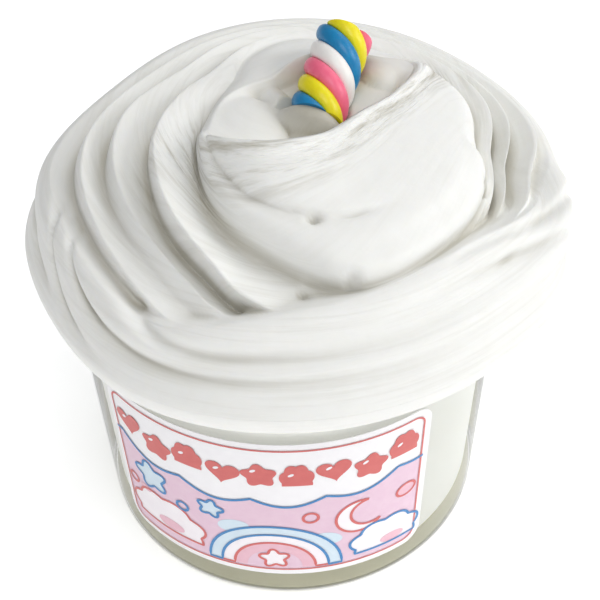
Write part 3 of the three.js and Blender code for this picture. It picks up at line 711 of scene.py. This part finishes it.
def clay_material(name, light, dark):
    """Baked polymer clay: satin, with soft pressed dents and a faint mottle."""
    material, tree, place = new_material(name)
    # Dents about 1.5 mm across, and a grain of about 0.15 mm
    dents = noise(tree, place, 650.0, 2.0)
    grain = noise(tree, place, 6500.0, 2.0)
    relief = bump(tree, grain, 0.15, 0.00005, Normal=bump(tree, dents, 0.3, 0.0003))
    finish(tree, Base_Color=blend(tree, dents, dark, light), Roughness=spread(tree, grain, 0.32, 0.46),
           IOR=1.5, Subsurface_Weight=0.1, Subsurface_Radius=(1.0, 0.6, 0.5), Subsurface_Scale=0.0008,
           Normal=relief)
    return material


def printed_paper(name, light, dark):
    """Coated sticker paper with printed colour: a slight gloss, a faint print mottle and paper tooth."""
    material, tree, place = new_material(name)
    # Print mottle about 2 mm across, paper tooth about 0.2 mm
    mottle = noise(tree, place, 480.0, 3.0)
    tooth = noise(tree, place, 5000.0, 2.0)
    finish(tree, Base_Color=blend(tree, mottle, dark, light), Roughness=spread(tree, tooth, 0.34, 0.44),
           IOR=1.45, Normal=bump(tree, tooth, 0.1, 0.00003))
    return material


def floor_material():
    material, tree, place = new_material("pale_studio_floor")
    tint = blend(tree, noise(tree, place, 6.0, 2.0), "#fbfbfb", "#ffffff")
    finish(tree, Base_Color=tint, Roughness=0.8, Specular_IOR_Level=0.1, Emission_Color=linear("#ffffff"),
           Emission_Strength=0.4)
    return material


# Camera, floor and light

def place_camera():
    data = bpy.data.cameras.new("photo_camera")
    data.lens = CAMERA_LENS
    data.sensor_width = SENSOR
    data.sensor_fit = "HORIZONTAL"
    data.clip_start = 0.01
    data.clip_end = 20
    camera = new_object("photo_camera", data)
    rise = math.radians(CAMERA_RISE)
    back = Vector((0, -math.cos(rise), math.sin(rise)))
    right = Vector((1, 0, 0))
    up = back.cross(right)
    axes = Matrix((right, up, back)).transposed() @ Matrix.Rotation(math.radians(CAMERA_ROLL), 3, "Z")
    turn = Matrix.Rotation(math.radians(SWIRL_TURN), 4, "Z")
    camera.matrix_world = turn @ Matrix.Translation(Vector(CAMERA_PLACE) * MM) @ axes.to_4x4()
    bpy.context.scene.camera = camera


def add_light(name, bearing, rise, size, power, colour):
    """A soft square light that faces the swirl. Bearings are from the camera's side."""
    data = bpy.data.lights.new(name, "AREA")
    data.size = size
    data.energy = power
    data.color = linear(colour)[:3]
    light = new_object(name, data)
    turn, lift = math.radians(bearing + SWIRL_TURN), math.radians(rise)
    toward = Vector((math.sin(turn) * math.cos(lift), -math.cos(turn) * math.cos(lift), math.sin(lift)))
    light.location = Vector((0, 0, LIGHT_AIM)) + toward * LIGHT_DISTANCE
    light.rotation_euler = toward.to_track_quat("Z", "Y").to_euler()


def set_stage():
    corners = [(x * FLOOR_REACH, y * FLOOR_REACH, 0) for x, y in ((-1, -1), (1, -1), (1, 1), (-1, 1))]
    floor = add_mesh("studio_floor", corners, [(0, 1, 2, 3)], floor_material())
    world = bpy.data.worlds.new("studio_air")
    bpy.context.scene.world = world
    world.use_nodes = True
    background = world.node_tree.nodes["Background"]
    background.inputs["Color"].default_value = linear("#fbfcff")
    background.inputs["Strength"].default_value = 0.3
    for name, values in LIGHTS.items():
        add_light(name, *values)
    settings = bpy.context.scene.view_settings
    settings.view_transform = "Standard"
    settings.look = "None"


# Pieces

def wall_radius(z):
    return TUB_RADIUS + TUB_TAPER * z


def arc(centre, radius, start, end, count):
    """Points of an arc in the profile plane, angles in degrees from straight out, up positive."""
    angles = np.radians(np.linspace(start, end, count))
    return [(centre[0] + radius * math.cos(a), centre[1] + radius * math.sin(a)) for a in angles]


def revolve(profile, sides):
    """Rings of a profile of (radius, z) pairs round the axis, from below outwards."""
    bearings = np.arange(sides) * 360 / sides
    return np.array([around_axis(radius, bearings, z) for radius, z in profile])


def make_tub(material):
    heel = arc((wall_radius(TUB_HEEL) - TUB_HEEL, TUB_HEEL), TUB_HEEL, -90, 0, 9)
    bead = TUB_HEIGHT - BEAD_HEIGHT
    outer = [(wall_radius(z), z) for z in np.linspace(TUB_HEEL + 2, bead - 1.0, 12)]
    rim_out = wall_radius(TUB_HEIGHT) + BEAD_WIDTH
    bead_low = arc((rim_out - 0.5, bead + 0.2), 0.5, -80, 0, 6)
    bead_top = arc((rim_out - 0.5, TUB_HEIGHT - 0.5), 0.5, 0, 90, 6)
    inner_rim = arc((wall_radius(TUB_HEIGHT) - TUB_WALL + 0.5, TUB_HEIGHT - 0.5), 0.5, 90, 180, 6)
    corner = TUB_FLOOR + TUB_INNER_HEEL
    inner = [(wall_radius(z) - TUB_WALL, z) for z in np.linspace(TUB_HEIGHT - 2, corner, 12)]
    inside_heel = arc((wall_radius(corner) - TUB_WALL - TUB_INNER_HEEL, corner), TUB_INNER_HEEL, 0, -90, 9)
    profile = heel + outer + bead_low + bead_top + inner_rim + inner + inside_heel[1:]
    # The first ring lies on the underside and the last on the floor inside, so the caps are flat
    rings = revolve(profile, TUB_SIDES)
    points, faces = rings_to_solid((0, 0, 0), rings, (0, 0, TUB_FLOOR))
    return add_mesh("tub_wall", points, [face[::-1] for face in faces], material)


def make_base(material):
    """The thick floor of the tub, a disc inside its outer faces, which the slime does not reach."""
    low, high = (wall_radius(1) - 0.6, 0.5), (wall_radius(TUB_FLOOR) - TUB_WALL - 0.3, TUB_FLOOR - 0.25)
    profile = arc((low[0] - 1, low[1] + 1), 1, -90, -10, 5)
    profile += arc((high[0] - 0.5, high[1] - 0.5), 0.5, 10, 90, 5)
    points, faces = rings_to_solid((0, 0, low[1]), revolve(profile, TUB_SIDES), (0, 0, high[1]))
    piece = add_mesh("tub_floor", points, [face[::-1] for face in faces], material)
    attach(piece, "root")


def make_slime(material):
    bearings = np.arange(SLIME_SIDES) * 360 / SLIME_SIDES - 180
    runs = crown_runs(bearings)
    crown = under_twist(crown_point(bearings[None, :], runs))
    edge = swirl_height(bearings, np.full_like(bearings, RING_RUN), dome_point(bearings, RING_RUN))
    under = np.array([under_point(bearings, (row + 1) / UNDER_ROWS, edge) for row in range(UNDER_ROWS)])
    reach = TUB_WALL - FILL_INTO_WALL
    floor = TUB_FLOOR - FILL_INTO_FLOOR
    corner = floor + TUB_INNER_HEEL
    inner = [(wall_radius(TUB_HEIGHT) - TUB_WALL - 0.2, TUB_HEIGHT + NECK_GAP)]
    inner += [(wall_radius(z) - reach, z) for z in np.linspace(TUB_HEIGHT - 1.5, corner, 8)]
    inner += arc((wall_radius(corner) - reach - TUB_INNER_HEEL, corner), TUB_INNER_HEEL, -15, -90, 6)
    fill = revolve(inner, SLIME_SIDES)
    fill = np.roll(fill, SLIME_SIDES // 2, axis=1)
    rings = np.concatenate([crown, under, fill])
    top = under_twist(crown_point(np.zeros(1), np.zeros(1)))[0]
    points, faces = rings_to_solid(top, rings, (0, 0, floor))
    piece = add_mesh("slime_swirl", turned(points), faces, material)
    add_layers(piece, bearings, runs, len(rings))
    return piece


def add_layers(piece, bearings, runs, rows):
    """Point attributes for the slime's material.

    strata runs in millimetres across the pulled layers, and slowly along them. pull says how much they show,
    and how much painted shade their grooves get. valley is the painted shade that darkens the slime's colour:
    how far a place lies below what is beside it, added to how near it lies to the twist, in its shade.
    pressed says which slime is pressed on the tub's wall, where the material paints a glow.
    """
    here = dome_point(bearings, runs)
    along, across, reach = hollow_place(here)
    height = swirl_height(bearings, runs, here)

    def sunk(reach_out):
        """How far places lie below those that far up and down the dome from them."""
        up, down = runs - reach_out, runs + reach_out
        above = swirl_height(bearings, up, dome_point(bearings, up))
        below = swirl_height(bearings, down, dome_point(bearings, down))
        return ((above + below) / 2 - height) / reach_out

    # Painted shade: the slime's colour darkens in hollows and creases, where less light reaches
    valley = np.clip(sunk(2.4), 0, 1) + np.clip(1.5 * sunk(1.2) - 0.5, 0, 1)
    # Painted shade beside the twist, where the twist keeps light off the slime
    _, side, past = by_twist(here)
    valley += TWIST_SHADE * np.exp(-((side ** 2 + past ** 2) / TWIST_SHADE_REACH ** 2)) * (reach < 0.98)
    on_head = smooth_step((head_edge(bearings) - runs) / 3 + 0.5)
    layers = on_head * 12 * reach + (1 - on_head) * runs
    rim = np.exp(-(((reach - 1.14) / 0.26) ** 2)) * np.clip((6 - across) / 8, 0, 1)
    pull = np.clip(0.12 + 2.2 * rim * (reach > 0.97) + 0.25 * (1 - on_head), 0, 3)
    sides = runs.shape[1]
    turn = np.radians(bearings) * np.ones((rows, 1))
    values = {"strata": np.zeros((rows, sides, 3)), "pull": np.full((rows, sides), 0.2),
              "valley": np.zeros((rows, sides)), "pressed": np.zeros((rows, sides))}
    count = len(runs)
    values["strata"][..., 0] = np.arange(rows)[:, None] * 0.4
    values["strata"][:count, :, 0] = layers
    values["strata"][..., 1] = 1.6 * np.cos(turn)
    values["strata"][..., 2] = 1.6 * np.sin(turn)
    values["pull"][:count] = pull
    values["valley"][:count] = valley
    values["pressed"][count + UNDER_ROWS:] = 1
    for name, grid in values.items():
        vector = grid.ndim == 3
        flat = grid.reshape(rows * sides, -1)
        whole = np.concatenate([flat[:1], flat, flat[-1:]]).astype(np.float32)
        attribute = piece.data.attributes.new(name, "FLOAT_VECTOR" if vector else "FLOAT", "POINT")
        attribute.data.foreach_set("vector" if vector else "value", whole.ravel())


def on_wall(across, height, off):
    """A place off the tub's wall, from millimetres across from the front and a height."""
    turn = across / LABEL_RADIUS
    reach = wall_radius(height) + off
    return reach * math.sin(turn), -reach * math.cos(turn), height


def facing_out(polygon):
    """The polygon turned so that its face points away from the wall."""
    across, height = np.array(polygon).T
    area = np.sum(across * np.roll(height, -1) - np.roll(across, -1) * height)
    return polygon if area > 0 else polygon[::-1]


def add_sheet(name, polygons, off, material, thick=0):
    """A sheet on the tub's wall from flat polygons of (across, height), cut 1 mm apart so that it bends.

    Its outer face lies off the wall by the given distance. With a thickness it is a closed solid.
    """
    sheet = bmesh.new()
    for polygon in polygons:
        sheet.faces.new([sheet.verts.new((across, height, 0)) for across, height in facing_out(polygon)])
    bmesh.ops.triangulate(sheet, faces=sheet.faces[:])
    for across in range(-35, 36):
        whole = sheet.verts[:] + sheet.edges[:] + sheet.faces[:]
        bmesh.ops.bisect_plane(sheet, geom=whole, dist=SHEET_MERGE, plane_co=(across, 0, 0),
                               plane_no=(1, 0, 0))
    bmesh.ops.remove_doubles(sheet, verts=sheet.verts[:], dist=SHEET_MERGE)
    bmesh.ops.dissolve_degenerate(sheet, edges=sheet.edges[:], dist=SHEET_MERGE)
    for vert in sheet.verts:
        vert.co = Vector(on_wall(vert.co.x, vert.co.y, off)) * MM
    if thick:
        sheet.normal_update()
        bmesh.ops.solidify(sheet, geom=sheet.faces[:], thickness=thick * MM)
    data = bpy.data.meshes.new(name)
    sheet.to_mesh(data)
    sheet.free()
    data.materials.append(material)
    piece = new_object(name, data)
    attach(piece, "root")
    return piece


def placed(points, middle, lean):
    """Flat points turned by their lean and moved to their middle."""
    turn_x, turn_z = math.cos(lean), math.sin(lean)
    return [(middle[0] + x * turn_x - z * turn_z, middle[1] + x * turn_z + z * turn_x) for x, z in points]


def outline(count, radius_at, middle=(0, 0), flat=1.0, lean=0.0):
    """A closed outline from a radius at each angle."""
    points = []
    for k in range(count):
        angle = 2 * math.pi * k / count
        radius = radius_at(angle)
        points.append((radius * math.cos(angle), radius * math.sin(angle) * flat))
    return placed(points, middle, lean)


def blossom(middle, size, petals=5, depth=0.14, lean=0.0):
    return outline(60, lambda a: size * (1 + depth * math.cos(petals * (a - math.pi / 2))), middle, 1, lean)


def dot(middle, size, flat=1.0, lean=0.0):
    return outline(24, lambda a: size, middle, flat, lean)


def heart(middle, size, lean=0.0):
    points = []
    for k in range(48):
        a = 2 * math.pi * k / 48
        x = size * math.sin(a) ** 3
        z = size * (13 * math.cos(a) - 5 * math.cos(2 * a) - 2 * math.cos(3 * a) - math.cos(4 * a) + 2.5) / 16
        points.append((x, z))
    return placed(points, middle, lean)


def cloud(middle, width, height):
    """A puffy cloud with a flat base."""
    puffs = outline(96, lambda a: 1 + 0.16 * abs(math.sin(3.5 * a + 0.6)))
    return [(middle[0] + x * width / 2, middle[1] + max(z, -0.5) * height / 1.5) for x, z in puffs]


def crescent(middle, size, lean):
    """A moon: an outer arc, and an inner arc back to its start."""
    outer = [(size * math.cos(a), size * math.sin(a)) for a in np.linspace(0.9, 5.38, 36)]
    inner = [(size * (0.42 + 0.8 * math.cos(a)), size * 0.8 * math.sin(a))
             for a in np.linspace(4.95, 1.33, 36)]
    return placed(outer + inner, middle, lean)


def band(shape):
    """An outline made of two facing lines, such as a moon or an arch, as quads from one line to the other."""
    half = len(shape) // 2
    near, far = shape[:half], shape[:half - 1:-1]
    return [[near[k], near[k + 1], far[k + 1], far[k]] for k in range(half - 1)]


def arch(middle, outer, inner):
    """One band of a rainbow, standing on its two feet."""
    angles = np.linspace(0, math.pi, 36)
    over = [(middle[0] + outer * math.cos(a), middle[1] + outer * math.sin(a)) for a in angles]
    under = [(middle[0] + inner * math.cos(a), middle[1] + inner * math.sin(a)) for a in angles[::-1]]
    return over + under


def rounded_box(low, high, corner):
    """A rectangle with round corners, (across, height) at its two far corners."""
    centres = [(high[0] - corner, high[1] - corner, 0), (low[0] + corner, high[1] - corner, 90),
               (low[0] + corner, low[1] + corner, 180), (high[0] - corner, low[1] + corner, 270)]
    points = []
    for x, z, start in centres:
        points += arc((x, z), corner, start, start + 90, 10)
    return points


def stroke(points, width, closed=True):
    """Quads along a line, for a printed outline of the given width."""
    line = np.array(points, float)
    if closed:
        before, after = np.roll(line, 1, axis=0), np.roll(line, -1, axis=0)
    else:
        before, after = np.vstack([line[:1], line[:-1]]), np.vstack([line[1:], line[-1:]])
    step = after - before
    step /= np.maximum(np.linalg.norm(step, axis=1, keepdims=True), 1e-9)
    side = np.stack([-step[:, 1], step[:, 0]], 1) * width / 2
    left, right = line + side, line - side
    count = len(line) if closed else len(line) - 1
    quads = []
    for k in range(count):
        n = (k + 1) % len(line)
        quads.append([tuple(left[k]), tuple(right[k]), tuple(right[n]), tuple(left[n])])
    return quads


def scallop_line():
    """The wavy line between the label's pale top and its pink ground, from left to right."""
    points = []
    for across in np.linspace(-33, 33, 133):
        sag = 30.4 + 4.8 * (across / 33) ** 2
        points.append((across, sag + 2.2 * (1 - abs(math.sin((across + 2) * math.pi / 14.6)))))
    return points


def make_label(inks):
    """A paper sheet, then its print in layers, each a few hundredths of a millimetre over the last."""
    half = math.radians(LABEL_HALF_ANGLE) * LABEL_RADIUS
    paper = rounded_box((-half, LABEL_BOTTOM), (half, LABEL_TOP), LABEL_CORNER)
    sheet = add_sheet("label_paper", [paper], LABEL_THICK, inks["paper"], LABEL_THICK - LABEL_GLUE)
    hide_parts("label")
    low = (-half + LABEL_MARGIN, LABEL_BOTTOM + LABEL_MARGIN)
    high = (half - LABEL_MARGIN, LABEL_TOP - LABEL_MARGIN)
    border = rounded_box(low, high, 2.6)
    wave = scallop_line()
    ground = [(low[0] + 0.2, low[1] + 0.2)] + [(low[0] + 0.2, wave[0][1])]
    ground += [point for point in wave if low[0] + 0.2 < point[0] < high[0] - 0.2]
    ground += [(high[0] - 0.2, wave[-1][1]), (high[0] - 0.2, low[1] + 0.2)]
    level = [LABEL_THICK + INK * k for k in range(1, 6)]
    add_sheet("print_ground", [ground], level[0], inks["pink"])

    # Row of plump coral motifs over the top, each with a white glint
    row = []
    glints = []
    for k in range(9):
        across = -28.2 + 7.05 * k
        height = 39.8 + 0.8 * (across / 28) ** 2 + 0.5 * (-1) ** k
        lean = 0.12 * (-1) ** k
        shape = (heart((across, height), 3.4, lean), blossom((across, height), 3.1, 5, 0.16, lean),
                 cloud((across, height), 5.8, 6))[k % 3]
        row.append(shape)
        glints.append(dot((across - 1.1, height + 1.4), 0.65, 0.55, 0.6))

    clouds = [cloud((-22, 15.5), 17, 9.5), cloud((25.5, 14.2), 14, 8.4)]
    rainbow_middle = (2, 10)
    bands = [arch(rainbow_middle, outer, outer - 2.7) for outer in (13.8, 11.1, 8.4)]
    moon = crescent((19.5, 24.3), 5, 0.35)
    stars = [blossom((-24.5, 27.6), 3.6, 5, 0.22, 0.2), blossom((-10.5, 26.6), 2.3, 5, 0.22, -0.2),
             blossom((2, 13), 2.6, 5, 0.22, 0.1)]
    rings = [dot((29.5, 27), 2.2, 0.8, 0.3), dot((9.5, 26.6), 1.5), dot((-17, 23.6), 1.3),
             dot((-30.5, 22.5), 1.3)]

    add_sheet("print_white", clouds + [stars[2]] + band(bands[1]) + band(moon), level[1], inks["white"])
    haze = [dot((-6, 22.5), 3.4, 0.6, 0.3), dot((13, 19), 3, 0.6, -0.4)]
    add_sheet("print_pale_blue", band(bands[0]) + stars[:2] + haze, level[1], inks["pale_blue"])
    blush = [dot((-21, 14.5), 3.4, 0.5), dot((27, 13), 2.8, 0.5), dot((-27, 22), 1.6, 0.6)]
    add_sheet("print_rose", band(bands[2]) + [rings[0]] + blush, level[2], inks["rose"])
    coral = row + stroke(border, 0.42)
    for shape in (clouds[0], moon, bands[1], stars[2], rings[0], rings[1], rings[3]):
        coral += stroke(shape, 0.6)
    add_sheet("print_coral", coral, level[3], inks["coral"])
    blue = stroke(wave, 0.6, closed=False)
    for shape in (clouds[1], bands[0], stars[0], stars[1], rings[2]):
        blue += stroke(shape, 0.6)
    add_sheet("print_blue", blue, level[4], inks["blue"])
    add_sheet("print_glints", glints, level[4], inks["white"])


def strand_section():
    """Outline of one strand across the twist: a quarter of the circle, with a bulging outer side."""
    points = [(0.05, 0.0)]
    for w in np.linspace(-1, 1, 25):
        angle = math.radians(45) * w
        reach = (TWIST_RADIUS - 0.1) * (0.76 + 0.24 * math.sqrt(1 - (0.96 * w) ** 2))
        points.append((reach * math.cos(angle) + 0.05, reach * math.sin(angle)))
    return points


def strand_nodes():
    """A node group that draws one strand along +X, its section turned steadily and its ends rounded."""
    group = bpy.data.node_groups.new("clay_strand", "GeometryNodeTree")
    sockets = (("Length", "Float"), ("Turn", "Float"), ("Start Angle", "Float"), ("End Rounding", "Float"),
               ("Steps", "Int"), ("Section", "Object"), ("Finish", "Material"))
    for name, kind in sockets:
        group.interface.new_socket(name, in_out="INPUT", socket_type="NodeSocket" + kind)
    group.interface.new_socket("Geometry", in_out="OUTPUT", socket_type="NodeSocketGeometry")
    given = node(group, "NodeGroupInput").outputs
    end = node(group, "ShaderNodeCombineXYZ", X=given["Length"])
    line = node(group, "GeometryNodeCurvePrimitiveLine", End=end.outputs["Vector"])
    fine = node(group, "GeometryNodeResampleCurve", Curve=line.outputs["Curve"], Count=given["Steps"])
    place = node(group, "GeometryNodeSplineParameter").outputs
    turn = maths(group, "MULTIPLY_ADD", place["Factor"], given["Turn"], given["Start Angle"])
    tilted = node(group, "GeometryNodeSetCurveTilt", Curve=fine.outputs["Curve"], Tilt=turn)
    rest = maths(group, "SUBTRACT", given["Length"], place["Length"])
    near = maths(group, "MINIMUM", place["Length"], rest)
    share = maths(group, "DIVIDE", near, given["End Rounding"], clamp=True)
    taper = maths(group, "POWER", maths(group, "SUBTRACT", 1.0, share), 2.4)
    girth = maths(group, "MULTIPLY_ADD", taper, -STRAND_TAPER, 1.0)
    sized = node(group, "GeometryNodeSetCurveRadius", Curve=tilted.outputs["Curve"], Radius=girth)
    section = node(group, "GeometryNodeObjectInfo", Object=given["Section"])
    solid = node(group, "GeometryNodeCurveToMesh", Curve=sized.outputs["Curve"],
                 Profile_Curve=section.outputs["Geometry"], Fill_Caps=True)
    real = node(group, "GeometryNodeRealizeInstances", Geometry=solid.outputs["Mesh"])
    clad = node(group, "GeometryNodeSetMaterial", Geometry=real.outputs["Geometry"], Material=given["Finish"])
    node(group, "NodeGroupOutput", Geometry=clad.outputs["Geometry"])
    return group


def baked(name, group, values):
    """What a node group draws with the given inputs, as a plain mesh."""
    holder = new_object("holder", bpy.data.meshes.new("holder"))
    modifier = holder.modifiers.new("nodes", "NODES")
    modifier.node_group = group
    for item in group.interface.items_tree:
        if item.name in values:
            modifier[item.identifier] = values[item.name]
    drawn = holder.evaluated_get(bpy.context.evaluated_depsgraph_get())
    data = bpy.data.meshes.new_from_object(drawn)
    data.name = name
    bpy.data.objects.remove(holder)
    return data


def make_twist(clays):
    """Four strands of clay side by side, wound round one axis."""
    outline_curve = bpy.data.curves.new("section", "CURVE")
    spline = outline_curve.splines.new("POLY")
    section = strand_section()
    spline.points.add(len(section) - 1)
    for point, (x, y) in zip(spline.points, section):
        point.co = (x * MM, y * MM, 0, 1)
    spline.use_cyclic_u = True
    holder = new_object("section", outline_curve)
    group = strand_nodes()
    along, aside, up = twist_axes()
    turns = 2 * math.pi * TWIST_LENGTH / TWIST_PITCH
    for index, (name, clay) in enumerate(clays.items()):
        values = {"Length": TWIST_LENGTH * MM, "Turn": turns, "Start Angle": -index * math.pi / 2,
                  "End Rounding": STRAND_END * MM, "Steps": STRAND_STEPS, "Section": holder,
                  "Finish": clay}
        data = baked(name, group, values)
        count = len(data.vertices)
        local = np.zeros(count * 3, np.float32)
        data.vertices.foreach_get("co", local)
        local = local.reshape(-1, 3)
        start = np.array(TWIST_FAR_END) * MM
        place = start - local[:, :1] * along - local[:, 1:2] * aside + local[:, 2:] * up
        data.vertices.foreach_set("co", turned(place).astype(np.float32).ravel())
        # Laid out from the far end, the strand is mirrored, so its faces are turned out again
        data.flip_normals()
        data.update()
        data.shade_smooth()
        piece = new_object(name + "_strand", data)
        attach(piece, "root")
        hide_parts(name)
    bpy.data.objects.remove(holder)


def main():
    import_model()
    place_camera()
    set_stage()
    tub = make_tub(clear_plastic())
    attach(tub, "root")
    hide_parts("tub")
    make_base(base_plastic())
    slime = make_slime(slime_material())
    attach(slime, "root")
    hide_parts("slime")
    make_label({
        "paper": printed_paper("sticker_paper", "#fbfafb", "#f5f3f5"),
        "pink": printed_paper("pink_print", "#ecd0de", "#e3bfd3"),
        "white": printed_paper("white_print", "#fdf9fb", "#f6eff4"),
        "pale_blue": printed_paper("pale_blue_print", "#dcecf5", "#cfe2ef"),
        "rose": printed_paper("rose_print", "#efc3cf", "#e6b2c2"),
        "coral": printed_paper("coral_print", "#dc6f6a", "#cf5d5b"),
        "blue": printed_paper("blue_print", "#3c8cc8", "#2f7cba"),
    })
    make_twist({
        "twist_pink": clay_material("pink_clay", "#ff7d98", "#ee6084"),
        "twist_yellow": clay_material("yellow_clay", "#f6ea12", "#e6d606"),
        "twist_blue": clay_material("blue_clay", "#0a8dc4", "#0874aa"),
        "twist_white": clay_material("white_clay", "#f8f6f2", "#eeeae5"),
    })


main()
